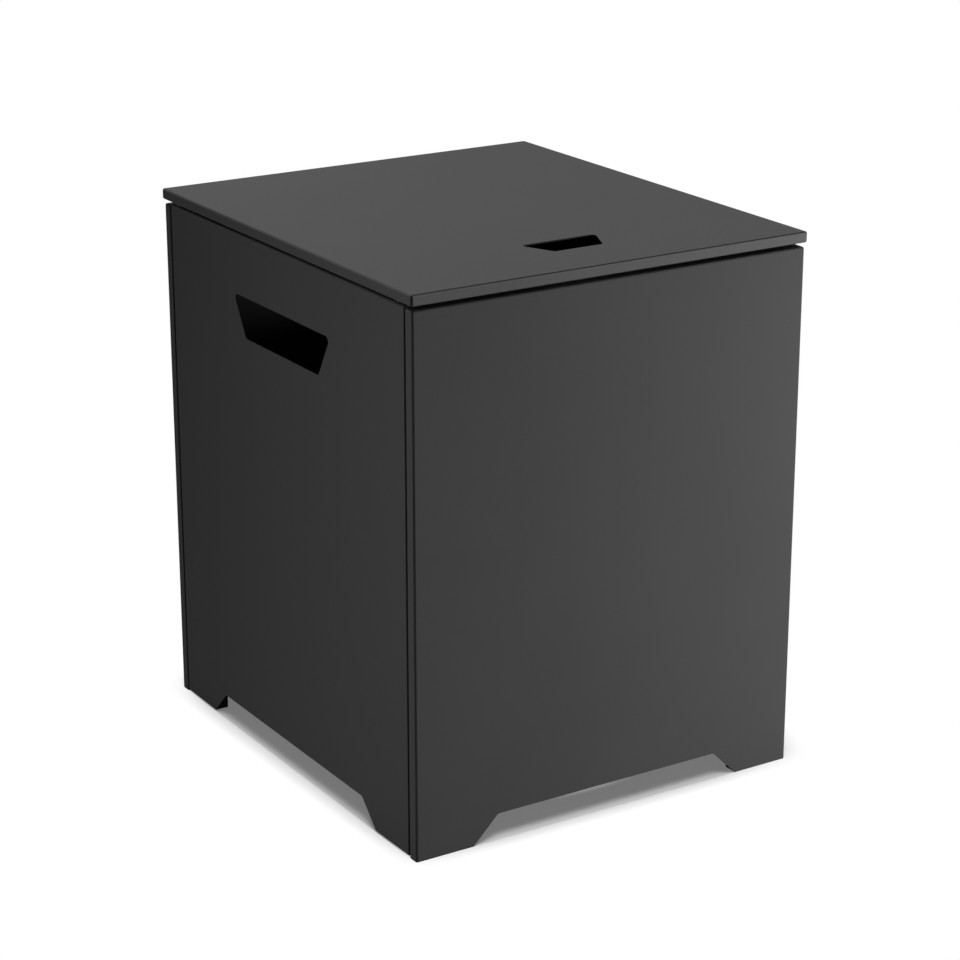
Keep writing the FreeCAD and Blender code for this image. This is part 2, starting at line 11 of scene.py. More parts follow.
import bmesh
import bpy
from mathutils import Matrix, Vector


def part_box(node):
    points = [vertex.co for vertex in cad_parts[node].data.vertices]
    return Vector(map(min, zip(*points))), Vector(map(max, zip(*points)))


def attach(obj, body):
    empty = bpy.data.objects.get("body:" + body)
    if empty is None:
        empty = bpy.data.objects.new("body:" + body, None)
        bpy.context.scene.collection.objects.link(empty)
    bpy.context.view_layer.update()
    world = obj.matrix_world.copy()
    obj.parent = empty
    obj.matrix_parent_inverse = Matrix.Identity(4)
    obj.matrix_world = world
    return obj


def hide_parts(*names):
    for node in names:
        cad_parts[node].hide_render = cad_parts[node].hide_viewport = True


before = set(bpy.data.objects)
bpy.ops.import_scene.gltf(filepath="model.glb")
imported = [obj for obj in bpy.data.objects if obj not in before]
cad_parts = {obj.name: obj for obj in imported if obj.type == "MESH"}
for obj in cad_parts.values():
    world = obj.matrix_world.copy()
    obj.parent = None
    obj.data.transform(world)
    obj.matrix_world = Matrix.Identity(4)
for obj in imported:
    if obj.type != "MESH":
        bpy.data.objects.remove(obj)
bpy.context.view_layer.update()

MM = 0.001

# %% [markdown]
# All places are worked out from the CAD nodes' boxes, so the dressing still fits when the model is
# built again in another size. The front panel gives the width, depth and height of the body, a
# side panel the place of the corner seams, and the lid's panel the size of the lid.

# %% Read the sizes of the box and the lid
front_low, front_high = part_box("front_panel")
lid_low, lid_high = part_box("lid_panel")
half_width = front_high.x
half_depth = -front_low.y
body_top = front_high.z
seam_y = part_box("left_side_panel")[1].y
print("Body in mm:", round(2 * half_width / MM, 1), "wide,", round(2 * half_depth / MM, 1), "deep,",
      round(body_top / MM, 1), "high; seams at", round(seam_y / MM, 1))

# %% [markdown]
# A finish is a small graph of shader nodes. Written node by node it takes pages, so two small
# classes carry it. Signal wraps one output socket, and its arithmetic adds Math nodes, so a mask
# reads like the formula that it is. Finish owns a material or a world, and its node method makes
# any node from a type, its settings and its inputs.

# %% Write shader maths as Python
class Signal:
    """A number that varies over a surface. Arithmetic on it adds Math nodes."""

    def __init__(self, finish, socket):
        self.finish = finish
        self.socket = socket

    def math(self, operation, *others):
        values = dict(enumerate([self, *others]))
        return self.finish.node("ShaderNodeMath", {"operation": operation}, values)

    def __add__(self, other):
        return self.math("ADD", other)

    def __sub__(self, other):
        return self.math("SUBTRACT", other)

    def __mul__(self, other):
        return self.math("MULTIPLY", other)

    def __rsub__(self, other):
        return self.finish.node("ShaderNodeMath", {"operation": "SUBTRACT"}, {0: other, 1: self})

    __radd__ = __add__
    __rmul__ = __mul__

    def between(self, low, high):
        """0 below low, 1 above high and a soft step in between."""
        settings = {"interpolation_type": "SMOOTHSTEP"}
        inputs = {"Value": self, "From Min": low, "From Max": high}
        return self.finish.node("ShaderNodeMapRange", settings, inputs)


class Finish:
    """A material or a world that is being made, with the shader whose sockets its signals feed."""

    def __init__(self, name, world=None):
        self.material = world or bpy.data.materials.new(name)
        self.material.use_nodes = True
        self.tree = self.material.node_tree
        self.shader = self.tree.nodes["Background" if world else "Principled BSDF"]

    def node(self, kind, settings=None, inputs=None, output=0):
        """Any node, with its settings made first. Returns the signal of one of its outputs."""
        made = self.tree.nodes.new(kind)
        for key, value in (settings or {}).items():
            setattr(made, key, value)
        for key, value in (inputs or {}).items():
            self.feed(made.inputs[key], value)
        return Signal(self, made.outputs[output])

    def feed(self, socket, value):
        if isinstance(value, Signal):
            self.tree.links.new(value.socket, socket)
        else:
            socket.default_value = value

    def mix(self, factor, first, second):
        """A colour between two others."""
        settings = {"data_type": "RGBA"}
        return self.node("ShaderNodeMix", settings, {0: factor, 6: first, 7: second}, output=2)

    def place(self):
        """The point on the piece, in its own coordinates."""
        return self.node("ShaderNodeTexCoord", output="Object")

    def noise(self, place, scale, detail):
        """Noise whose spots are about one scale-th of a metre across."""
        settings = {"noise_dimensions": "3D"}
        inputs = {"Vector": place, "Scale": scale, "Detail": detail}
        return self.node("ShaderNodeTexNoise", settings, inputs)

    def bump(self, height, strength=1.0, distance=1.0):
        """A normal that is bent by a height."""
        inputs = {"Strength": strength, "Distance": distance, "Height": height}
        return self.node("ShaderNodeBump", None, inputs)

    def shade(self, **sockets):
        """Feed the shader's sockets, given with underscores for spaces."""
        for key, value in sockets.items():
            self.feed(self.shader.inputs[key.replace("_", " ")], value)
        return self.material


# %% [markdown]
# The steel is powder coated: dry paint is sprayed on, then baked until it flows. The result is a
# dull skin with a very fine orange peel, and no brush marks or runs. Its colour is a neutral
# charcoal with a hint of blue. Noise at three scales makes it: broad clouds that hardly change the
# shade, a fine peel that only bends the light, and tiny grains. The sheet itself is never quite
# flat, so a very low and broad swell bends the light as well. One recipe makes all the coats: the
# body, the lid, a paler coat that paints light onto the lid's front and back edges, a darker coat
# that paints shade on the inside, and a near black one for the black inner parts and for the
# painted shade in the grooves and on the crests of bends.

# %% Make the powder coats
CLOUD_SCALE = 7.0
SWELL_SCALE = 5.0
PEEL_SCALE = 620.0
GRAIN_SCALE = 1400.0
CLOUD_SHARE = 0.6
CLOUD_GLOSS = 0.07
GRAIN_GLOSS = 0.05
DARK_TINT = (0.94, 0.945, 0.955)
LIGHT_TINT = (1.05, 1.055, 1.065)
COAT_IOR = 1.5
COAT_SHINE = 0.06


def powder_coat(name, shade, roughness, peel, swell):
    """A coat of a grey shade. Peel and swell are the heights of its unevenness."""
    coat = Finish(name)
    place = coat.place()
    clouds = coat.noise(place, CLOUD_SCALE, detail=3.0)
    grains = coat.noise(place, GRAIN_SCALE, detail=1.0)
    fine = coat.noise(place, PEEL_SCALE, detail=2.0)
    broad = coat.noise(place, SWELL_SCALE, detail=1.0)
    dark, light = [(*[shade * part for part in tint], 1.0) for tint in (DARK_TINT, LIGHT_TINT)]
    mottle = CLOUD_SHARE * clouds.between(0.3, 0.7) + (1 - CLOUD_SHARE) * grains.between(0.25, 0.75)
    gloss = roughness + CLOUD_GLOSS * (clouds - 0.5) + GRAIN_GLOSS * (grains - 0.5)
    return coat.shade(Base_Color=coat.mix(mottle, dark, light), Roughness=gloss,
                      Normal=coat.bump(fine * peel + broad * swell), IOR=COAT_IOR,
                      Specular_IOR_Level=COAT_SHINE)


body_coat = powder_coat("body_powder_coat", shade=0.050, roughness=0.72, peel=0.010 * MM,
                        swell=0.6 * MM)
lid_coat = powder_coat("lid_powder_coat", shade=0.052, roughness=0.72, peel=0.009 * MM,
                       swell=0.4 * MM)
# Painted light: this paler coat brightens the lid's front and back edges.
lid_edge_light_coat = powder_coat("lid_edge_painted_light_coat", shade=0.082, roughness=0.72, peel=0.009 * MM,
                            swell=0.2 * MM)
# Painted shade: the inside coat is darker than the outside, and the near black coat paints the
# grooves and bend crests.
inside_shade_coat = powder_coat("inside_painted_shade_coat", shade=0.034, roughness=0.78, peel=0.016 * MM,
                          swell=0.5 * MM)
black_and_shade_coat = powder_coat("black_and_painted_shade_coat", shade=0.012, roughness=0.80, peel=0.016 * MM,
                         swell=0.4 * MM)
coats = (body_coat, lid_coat, lid_edge_light_coat, inside_shade_coat, black_and_shade_coat)
print("Powder coats:", ", ".join(coat.name for coat in coats))

# %% [markdown]
# The screws and washers are zinc plated: a pale, slightly cloudy metal with very fine scratches.
# The weld nuts are bare steel that the welding heat has browned. The bumpers are soft black
# rubber, dull and a little dusty.

# %% Make the fasteners' metals and the rubber
SCRATCH_SCALE = 3000.0
SCRATCH_DEPTH = 0.02 * MM
METAL_GLOSS = 0.18
DUST_SCALE = 260.0
DUST_DEPTH = 0.04 * MM
DUST_GLOSS = 0.1


def cloudy_metal(name, dark, light, roughness, cloud_scale):
    metal = Finish(name)
    place = metal.place()
    clouds = metal.noise(place, cloud_scale, detail=4.0)
    scratches = metal.noise(place, SCRATCH_SCALE, detail=1.0)
    tone = metal.mix(clouds.between(0.3, 0.72), (*dark, 1.0), (*light, 1.0))
    gloss = roughness + METAL_GLOSS * (clouds - 0.5)
    return metal.shade(Base_Color=tone, Metallic=1.0, Roughness=gloss,
                       Normal=metal.bump(scratches, strength=0.4, distance=SCRATCH_DEPTH))


def dusty_rubber(name, clean, dusty, roughness):
    soft = Finish(name)
    dust = soft.noise(soft.place(), DUST_SCALE, detail=4.0)
    tone = soft.mix(dust.between(0.45, 0.8), (*clean, 1.0), (*dusty, 1.0))
    gloss = roughness + DUST_GLOSS * (dust - 0.5)
    return soft.shade(Base_Color=tone, Roughness=gloss,
                      Normal=soft.bump(dust, strength=0.5, distance=DUST_DEPTH))


zinc_plate = cloudy_metal("zinc_plate", dark=(0.42, 0.42, 0.41), light=(0.62, 0.62, 0.60),
                          roughness=0.34, cloud_scale=240.0)
weld_nut_steel = cloudy_metal("weld_nut_steel", dark=(0.16, 0.13, 0.10), light=(0.40, 0.38, 0.35),
                              roughness=0.42, cloud_scale=320.0)
bumper_rubber = dusty_rubber("bumper_rubber", clean=(0.010, 0.010, 0.010),
                             dusty=(0.026, 0.025, 0.024), roughness=0.72)
print("Metals and rubber:", zinc_plate.name, weld_nut_steel.name, bumper_rubber.name)

# %% [markdown]
# The panels, the foot channels, the stiffeners and the lid are cut by laser and then folded. The
# CAD solids already have their bends, but their cut edges are knife sharp, and on the real thing
# the coat draws them round. So each sheet piece is a copy of its CAD mesh: the loose triangles are
# welded and dissolved into whole faces, each sharp edge gets a tiny round, and the smooth shading
# is weighted so that the large faces stay flat. A piece may wear several coats, and a small
# function then picks the coat of each face from where it lies and where it looks.

# %% Round the cut edges of the sheet pieces
EDGE = 0.22 * MM
EDGE_STEPS = 2
WELD_DISTANCE = 0.01 * MM
FLAT_ANGLE = math.radians(1.0)
SHARP_ANGLE = math.radians(48.0)
SMOOTH_ANGLE = math.radians(40.0)


def round_sharp_edges(mesh, node, radius):
    """Copy a CAD node's mesh with its edges rounded. Returns the number of rounded edges."""
    shape = bmesh.new()
    shape.from_mesh(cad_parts[node].data)
    bmesh.ops.remove_doubles(shape, verts=shape.verts, dist=WELD_DISTANCE)
    bmesh.ops.dissolve_limit(shape, angle_limit=FLAT_ANGLE, verts=shape.verts, edges=shape.edges)
    sharp = [e for e in shape.edges if len(e.link_faces) == 2 and e.calc_face_angle() > SHARP_ANGLE]
    bmesh.ops.bevel(shape, geom=sharp, offset=radius, segments=EDGE_STEPS, profile=0.5,
                    affect="EDGES", clamp_overlap=False)
    shape.to_mesh(mesh)
    shape.free()
    return len(sharp)


def smooth_shade(mesh, sharp_from):
    """Smooth all faces but across the edges that are sharper than an angle."""
    mesh.polygons.foreach_set("use_smooth", [True] * len(mesh.polygons))
    mesh.set_sharp_from_angle(angle=sharp_from)


def bake_modifiers(piece):
    """Make what the modifiers show the piece's own plain mesh."""
    bpy.context.view_layer.update()
    shown = piece.evaluated_get(bpy.context.evaluated_depsgraph_get())
    baked = bpy.data.meshes.new_from_object(shown)
    piece.modifiers.clear()
    piece.data = baked


def sheet_piece(node, body, finishes, pick=None):
    """Dress a sheet part. Pick names a face's finish, by its number, from its centre and normal."""
    mesh = bpy.data.meshes.new(node + "_coated")
    rounded = round_sharp_edges(mesh, node, EDGE)
    for finish in finishes:
        mesh.materials.append(finish)
    for face in mesh.polygons:
        face.material_index = pick(face.center, face.normal) if pick else 0
    smooth_shade(mesh, SMOOTH_ANGLE)
    piece = bpy.data.objects.new(node + "_coated", mesh)
    bpy.context.scene.collection.objects.link(piece)
    piece.modifiers.new("weighted_normals", "WEIGHTED_NORMAL").keep_sharp = True
    bake_modifiers(piece)
    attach(piece, body)
    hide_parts(node)
    print(node, "has", rounded, "rounded edges and", len(piece.data.polygons), "faces")
    return piece


# %% [markdown]
# A face belongs to the inside when it lies behind the outer skin and doesn't look outwards, and
# the inside wears the darker coat of painted shade. For a body panel the outer skin is the box's
# own outside, one sheet thick, with the narrow returns round the corners. Two bends meet in each
# corner seam and form a narrow groove, which is painted black as shade, as is the crest of each
# corner bend. Powder also piles up along a cut edge when it is baked, and leaves a rim a tenth of
# a millimetre or so proud. On the front and back panels' top lips it also closes the hair-thin
# slit that the eye could look through, under the lid and out of the hand slot on the far side.

# %% Coat the body's panels
SHEET = 1.2 * MM
BEND = 2.0 * MM
FLAT_SIDE = 0.995
RIM_SWELL = 0.15 * MM
OUTER, INNER, PAINTED_SHADE, PAINTED_LIGHT_EDGE = 0, 1, 2, 3


def body_face(centre, normal):
    """The number of the finish of a face of the body."""
    skin_x = abs(centre.x) > half_width - SHEET / 2
    skin_y = abs(centre.y) > half_depth - SHEET / 2
    outward = (normal.x * centre.x > 0 and skin_x) or (normal.y * centre.y > 0 and skin_y)
    if centre.z > body_top - SHEET / 2:
        return OUTER
    # Painted shade: the seam groove and the corner bend's crest take the black coat, and the inside
    # takes the darker inside coat.
    in_groove = abs(abs(centre.y) - seam_y) < BEND and abs(normal.x) < FLAT_SIDE
    on_corner = abs(centre.x) > half_width - BEND and abs(centre.y) > half_depth - BEND
    if in_groove or (on_corner and not outward):
        return PAINTED_SHADE
    return OUTER if outward else INNER


def swell_rim(piece):
    """Raise the inner rim of a panel's top lip. Returns the number of points that moved."""
    moved = 0
    for point in piece.data.vertices:
        if point.co.z > body_top - EDGE and abs(point.co.y) < seam_y + 2 * EDGE:
            point.co.z += RIM_SWELL
            moved += 1
    return moved


body_finishes = (body_coat, inside_shade_coat, black_and_shade_coat)
for node in ("left_side_panel", "right_side_panel"):
    sheet_piece(node, "cabinet", body_finishes, body_face)
for node in ("front_panel", "back_panel"):
    panel = sheet_piece(node, "cabinet", body_finishes, body_face)
    print(node, "has", swell_rim(panel), "points along its swollen rim")

# %% [markdown]
# The lid is a shallow tray. Its front and back edges wear a paler coat, painted light that makes
# them brighter than its top. Fine dark lines frame them: the crest of their bends is painted dark
# as shade, and so is each corner, as the closed slit between two folded edges.

# %% Coat the lid
CREST_LOW, CREST_HIGH = 0.6, 0.99
CORNER_SLIT = 0.5
DOWNWARDS = -0.5
FACING = 0.9


def lid_face(centre, normal):
    """The number of the finish of a face of the lid."""
    # Painted shade: the crests of the front and back bends and the corners take the black coat, and
    # the lid's underside takes the darker inside coat.
    on_bend = CREST_LOW < normal.z < CREST_HIGH and centre.z > lid_high.z - BEND
    crest = on_bend and abs(normal.y) > abs(normal.x)
    slit = min(abs(normal.x), abs(normal.y)) > CORNER_SLIT
    if crest or slit:
        return PAINTED_SHADE
    if normal.z < DOWNWARDS and lid_low.z + SHEET < centre.z < lid_high.z - 2 * SHEET:
        return INNER
    # Painted light: the front and back edges take the paler coat.
    return PAINTED_LIGHT_EDGE if abs(normal.y) > FACING and normal.y * centre.y > 0 else OUTER


lid_finishes = (lid_coat, inside_shade_coat, black_and_shade_coat, lid_edge_light_coat)
sheet_piece("lid_panel", "lid", lid_finishes, lid_face)

# %% [markdown]
# Behind each foot stands a short folded channel that carries the load, and two long hat-shaped
# channels stiffen the lid and drop inside the body, so that the lid can't slide off. The photograph
# shows the edge of one foot channel, which is black, so both kinds are black here.

# %% Coat the foot channels and the lid's stiffeners
for node in sorted(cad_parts):
    if "foot_channel" in node:
        sheet_piece(node, "cabinet", (black_and_shade_coat,))
    if node.startswith("lid_stiffener"):
        sheet_piece(node, "lid", (black_and_shade_coat,))

# %% [markdown]
# Screws, nuts, washers, bumpers and the welds' dabs are all round things, some with a few flats,
# so one helper makes them. It stacks rings of points. The radius and the height of a ring may both
# change round it: a hexagon is a radius that swells at six corners, a thread is one that climbs as
# it turns, and the arcs on a nut's flats are a height that drops towards the corners. A solid
# piece is closed by its first and last rings, and a piece with a bore joins the last ring to the
# first.

# %% Stack rings into a solid
RING_POINTS = 48
RING_SHARP_ANGLE = math.radians(32.0)


def at_turn(value, turn):
    """A ring's radius or height at a share of a turn."""
    return value(turn) if callable(value) else value


def stacked_rings(name, rings, material, has_bore=False, points=RING_POINTS):
    """A pattern along +Z. Each ring is (radius, height), numbers or functions of the turn."""
    shape = bmesh.new()
    loops = []
    for radius, height in rings:
        loop = []
        for i in range(points):
            turn = i / points
            reach = at_turn(radius, turn)
            angle = 2 * math.pi * turn
            place = (reach * math.cos(angle), reach * math.sin(angle), at_turn(height, turn))
            loop.append(shape.verts.new(place))
        loops.append(loop)
    upper_loops = loops[1:] + loops[:1] if has_bore else loops[1:]
    for lower, upper in zip(loops, upper_loops):
        for i in range(points):
            j = (i + 1) % points
            shape.faces.new((lower[i], lower[j], upper[j], upper[i]))
    if not has_bore:
        shape.faces.new(list(reversed(loops[0])))
        shape.faces.new(loops[-1])
    bmesh.ops.recalc_face_normals(shape, faces=shape.faces)
    mesh = bpy.data.meshes.new(name)
    shape.to_mesh(mesh)
    shape.free()
    mesh.materials.append(material)
    smooth_shade(mesh, RING_SHARP_ANGLE)
    print(name, "has", len(mesh.polygons), "faces")
    return bpy.data.objects.new(name, mesh)


def hexagon(flat_radius):
    """The radius of a hexagon with flats on the X axis, as a function of the turn."""
    def radius(turn):
        from_flat = (turn * 6 + 0.5) % 1.0 - 0.5
        return flat_radius / math.cos(from_flat * math.pi / 3)
    return radius


# %% [markdown]
# The seam screws are button heads with a hexagon socket, put in from inside the box, so their
# heads are what shows when the lid is off. The head is a low dome, the socket a hexagon that ends
# in the cone of the drill, and the shank carries a thread of 0.8 mm pitch.

# %% Make the pattern of the screw
SHANK_RADIUS = 2.5 * MM
SHANK_LENGTH = 8.0 * MM
HEAD_RADIUS = 4.75 * MM
HEAD_HEIGHT = 2.8 * MM
HEAD_RIM = 1.1 * MM
CROWN_RADIUS = 2.9 * MM
KEY_HALF_WIDTH = 1.5 * MM
KEY_DEPTH = 1.6 * MM
SOCKET_MOUTH = 1.35 * KEY_HALF_WIDTH
DRILL_TIP_RADIUS = 0.15 * MM
DRILL_TIP_DEPTH = 0.3 * MM
TIP_TAPER = 0.3 * MM
BROKEN_EDGE = 0.2 * MM
THREAD_PITCH = 0.8 * MM
THREAD_DEPTH = 0.42 * MM
RINGS_PER_PITCH = 5
DOME_RINGS = 7


def thread_radius(height):
    """The thread's radius round one ring: a ridge that has climbed to this height."""
    def radius(turn):
        phase = (height / THREAD_PITCH - turn) % 1.0
        ridge = 1 - abs(2 * phase - 1)
        run_in = min(1.0, (height + SHANK_LENGTH) / THREAD_PITCH)
        return SHANK_RADIUS - THREAD_DEPTH * (1 - ridge * run_in)
    return radius


def screw_rings():
    """From the shank's tip at the bottom, over the head, and down into the socket."""
    core = SHANK_RADIUS - THREAD_DEPTH
    steps = round(SHANK_LENGTH / THREAD_PITCH) * RINGS_PER_PITCH
    rings = [(core - TIP_TAPER, -SHANK_LENGTH)]
    for i in range(1, steps):
        height = SHANK_LENGTH * (i / steps - 1)
        rings.append((thread_radius(height), height))
    rings += [(core, 0.0), (HEAD_RADIUS - BROKEN_EDGE, 0.0)]
    rings += [(HEAD_RADIUS, BROKEN_EDGE), (HEAD_RADIUS, HEAD_RIM)]
    for i in range(1, DOME_RINGS + 1):
        lean = math.pi / 2 * i / DOME_RINGS
        reach = CROWN_RADIUS + (HEAD_RADIUS - CROWN_RADIUS) * math.cos(lean)
        rings.append((reach, HEAD_RIM + (HEAD_HEIGHT - HEAD_RIM) * math.sin(lean)))
    socket = hexagon(KEY_HALF_WIDTH)
    floor_height = HEAD_HEIGHT - KEY_DEPTH
    rings += [(SOCKET_MOUTH, HEAD_HEIGHT), (socket, HEAD_HEIGHT - BROKEN_EDGE)]
    rings += [(socket, floor_height), (DRILL_TIP_RADIUS, floor_height - DRILL_TIP_DEPTH)]
    return rings


screw_pattern = stacked_rings("screw_pattern", screw_rings(), zinc_plate)

# %% [markdown]
# The washer is a flat ring with its edges broken. The nut is a hexagon that a cone of 30 degrees
# cuts at both ends, so each flat ends in an arc and each corner is a little lower. Its flats look
# to the sides, the way the welder lined it up with the lip.

# %% Make the patterns of the washer and the weld nut
washer_low, washer_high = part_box("seam_washers_front_left")
nut_low, nut_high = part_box("seam_nuts_front_left")
washer_radius = (washer_high.x - washer_low.x) / 2
washer_thick = washer_high.y - washer_low.y
nut_half_width = (nut_high.x - nut_low.x) / 2
nut_height = nut_high.y - nut_low.y
NUT_FACE_SHARE = 0.96
NUT_CONE = math.radians(30.0)


def washer_rings():
    """Down the bore and up the rim, with both edges broken at both ends."""
    bore, rim, top, edge = 2.75 * MM, washer_radius, washer_thick, 0.15 * MM
    down_the_bore = [(bore + edge, top), (bore, top - edge), (bore, edge), (bore + edge, 0.0)]
    up_the_rim = [(rim - edge, 0.0), (rim, edge), (rim, top - edge), (rim - edge, top)]
    return down_the_bore + up_the_rim


def nut_rings():
    """Down the bore, which is countersunk at both ends, and up the flats."""
    bore, mouth = 2.55 * MM, 3.0 * MM
    face = nut_half_width * NUT_FACE_SHARE
    outline = hexagon(nut_half_width)
    slope = math.tan(NUT_CONE)

    def low_arc(turn):
        return (outline(turn) - face) * slope

    def high_arc(turn):
        return nut_height - low_arc(turn)

    down_the_bore = [(bore, nut_height - mouth + bore), (bore, mouth - bore), (mouth, 0.0)]
    up_the_flats = [(face, 0.0), (outline, low_arc), (outline, high_arc), (face, nut_height)]
    return down_the_bore + up_the_flats + [(mouth, nut_height)]


washer_pattern = stacked_rings("washer_pattern", washer_rings(), zinc_plate, has_bore=True)
nut_pattern = stacked_rings("nut_pattern", nut_rings(), weld_nut_steel, has_bore=True)

# %% [markdown]
# The bumpers are pushed into holes in the lid's lips from below. Each has a soft foot that stands
# on the body, a thin stem in the sheet and a barb that holds it from above. The foot is what keeps
# the lid a few millimetres off the body and makes the dark gap round the box.

# %% Make the pattern of the rubber bumper
bumper_low, bumper_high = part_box("lid_bumper_front_left")
foot_radius = (bumper_high.x - bumper_low.x) / 2
foot_height = lid_low.z - bumper_low.z
barb_top = bumper_high.z - bumper_low.z
LID_SHEET = 1.5 * MM
STEM_RADIUS = 2.0 * MM
BARB_RADIUS = 3.0 * MM
BARB_EDGE = 0.5 * MM
BARB_SHOULDER_SHARE = 0.72
BARB_TIP_SHARE = 0.5
DIMPLE_RADIUS = 0.6 * MM
DIMPLE_DEPTH = 0.25 * MM
DIMPLE_SHARE = 0.5
FOOT_ROUND = 0.8 * MM
FOOT_EDGE = 0.3 * MM
FOOT_STEPS = 4


def bumper_rings():
    """From the dimple under the foot, up its rounded rim and the stem, to the barb's blunt tip."""
    sheet_top = foot_height + LID_SHEET
    rings = [(DIMPLE_RADIUS, DIMPLE_DEPTH), (foot_radius * DIMPLE_SHARE, 0.0)]
    for i in range(FOOT_STEPS + 1):
        lean = math.pi / 2 * i / FOOT_STEPS
        reach = foot_radius - FOOT_ROUND + FOOT_ROUND * math.sin(lean)
        rings.append((reach, FOOT_ROUND - FOOT_ROUND * math.cos(lean)))
    rings += [(foot_radius, foot_height - FOOT_EDGE), (foot_radius - FOOT_EDGE, foot_height)]
    rings += [(STEM_RADIUS, foot_height), (STEM_RADIUS, sheet_top)]
    rings += [(BARB_RADIUS, sheet_top), (BARB_RADIUS, sheet_top + BARB_EDGE)]
    rings.append((BARB_RADIUS * BARB_SHOULDER_SHARE, barb_top - BARB_EDGE))
    rings.append((BARB_RADIUS * BARB_TIP_SHARE, barb_top))
    return rings


bumper_pattern = stacked_rings("bumper_pattern", bumper_rings(), bumper_rubber)

# %% [markdown]
# The fasteners stand in rows, and a row is a rule: so many copies, evenly spaced between two
# points. Geometry Nodes say it once. A Mesh Line gives the points, Instance on Points sets the
# pattern on each of them, and every copy is spun about its own axis by a random share of a turn,
# because no fitter leaves all sockets clocked alike. The copies are then made real, since an
# export drops instances.

# %% Write the row as a Geometry Nodes tree
ROW_INPUTS = {
    "Pattern": "NodeSocketObject",
    "Count": "NodeSocketInt",
    "Start": "NodeSocketVector",
    "End": "NodeSocketVector",
    "Turn": "NodeSocketRotation",
    "Spin": "NodeSocketFloat",
    "Seed": "NodeSocketInt",
    "Finish": "NodeSocketMaterial",
}


def make_row_tree():
    tree = bpy.data.node_groups.new("row_of_copies", "GeometryNodeTree")
    for name, kind in ROW_INPUTS.items():
        tree.interface.new_socket(name, in_out="INPUT", socket_type=kind)
    tree.interface.new_socket("Geometry", in_out="OUTPUT", socket_type="NodeSocketGeometry")
    nodes, links = tree.nodes, tree.links
    given = nodes.new("NodeGroupInput")
    line = nodes.new("GeometryNodeMeshLine")
    line.mode = "END_POINTS"
    links.new(given.outputs["Count"], line.inputs["Count"])
    links.new(given.outputs["Start"], line.inputs["Start Location"])
    links.new(given.outputs["End"], line.inputs["Offset"])
    pattern = nodes.new("GeometryNodeObjectInfo")
    links.new(given.outputs["Pattern"], pattern.inputs["Object"])
    spin = nodes.new("FunctionNodeRandomValue")
    spin.data_type = "FLOAT"
    links.new(given.outputs["Spin"], spin.inputs[3])
    links.new(given.outputs["Seed"], spin.inputs["Seed"])
    around = nodes.new("ShaderNodeCombineXYZ")
    links.new(spin.outputs[1], around.inputs["Z"])
    twist = nodes.new("FunctionNodeEulerToRotation")
    links.new(around.outputs[0], twist.inputs[0])
    turned = nodes.new("FunctionNodeRotateRotation")
    turned.rotation_space = "LOCAL"
    links.new(given.outputs["Turn"], turned.inputs[0])
    links.new(twist.outputs[0], turned.inputs[1])
    copies = nodes.new("GeometryNodeInstanceOnPoints")
    links.new(line.outputs["Mesh"], copies.inputs["Points"])
    links.new(pattern.outputs["Geometry"], copies.inputs["Instance"])
    links.new(turned.outputs[0], copies.inputs["Rotation"])
    real = nodes.new("GeometryNodeRealizeInstances")
    links.new(copies.outputs[0], real.inputs[0])
    coated = nodes.new("GeometryNodeSetMaterial")
    links.new(real.outputs[0], coated.inputs["Geometry"])
    links.new(given.outputs["Finish"], coated.inputs["Material"])
    links.new(coated.outputs[0], nodes.new("NodeGroupOutput").inputs["Geometry"])
    return tree


row_tree = make_row_tree()
print(row_tree.name, "takes", ", ".join(ROW_INPUTS))

# %% [markdown]
# A modifier takes each input by its socket's identifier, which has nothing to do with the socket's
# name, so the values are matched by name first. They are all set before anything is evaluated, and
# then the row is baked into a plain mesh.

# %% Lay a row and bake it
def lay_row(name, values):
    """Give the row tree its inputs by socket identifier and bake what it makes."""
    row = bpy.data.objects.new(name, bpy.data.meshes.new(name + "_empty"))
    bpy.context.scene.collection.objects.link(row)
    modifier = row.modifiers.new(row_tree.name, "NODES")
    modifier.node_group = row_tree
    for socket in row_tree.interface.items_tree:
        if socket.in_out == "INPUT":
            modifier[socket.identifier] = values[socket.name]
    bake_modifiers(row)
    return row


def row_piece(name, node, body, values):
    """A row that takes the place of a CAD node."""
    piece = lay_row(name, values)
    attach(piece, body)
    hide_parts(node)
    print(name, "has", len(piece.data.polygons), "faces")


# %% [markdown]
# Each corner seam has three screws that pull the lips of two panels together. A screw goes in from
# the inside through a washer, the side panel's lip and the front or back panel's lip, into a nut
# that was welded on before coating. The screws, washers and nuts of a seam stand on the same
# lines, at depths that the CAD boxes give.

# %% Set the fasteners along the four corner seams
CORNERS = ("front_left", "front_right", "back_left", "back_right")
SCREWS_PER_SEAM = 3
FULL_TURN = 2 * math.pi


def seam_row(kind, corner, pattern, seat, finish, spin):
    """A row whose patterns look inwards, each with its origin on the line through the washers."""
    node = f"seam_{kind}_{corner}"
    low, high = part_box(f"seam_washers_{corner}")
    inward = 1 if low.y < 0 else -1
    across = (low.x + high.x) / 2
    row_piece(node + "_row", node, "cabinet", {
        "Pattern": pattern,
        "Count": SCREWS_PER_SEAM,
        "Start": (across, seat, low.z + washer_radius),
        "End": (across, seat, high.z - washer_radius),
        "Turn": (-inward * math.pi / 2, 0.0, 0.0),
        "Spin": spin,
        "Seed": CORNERS.index(corner),
        "Finish": finish,
    })


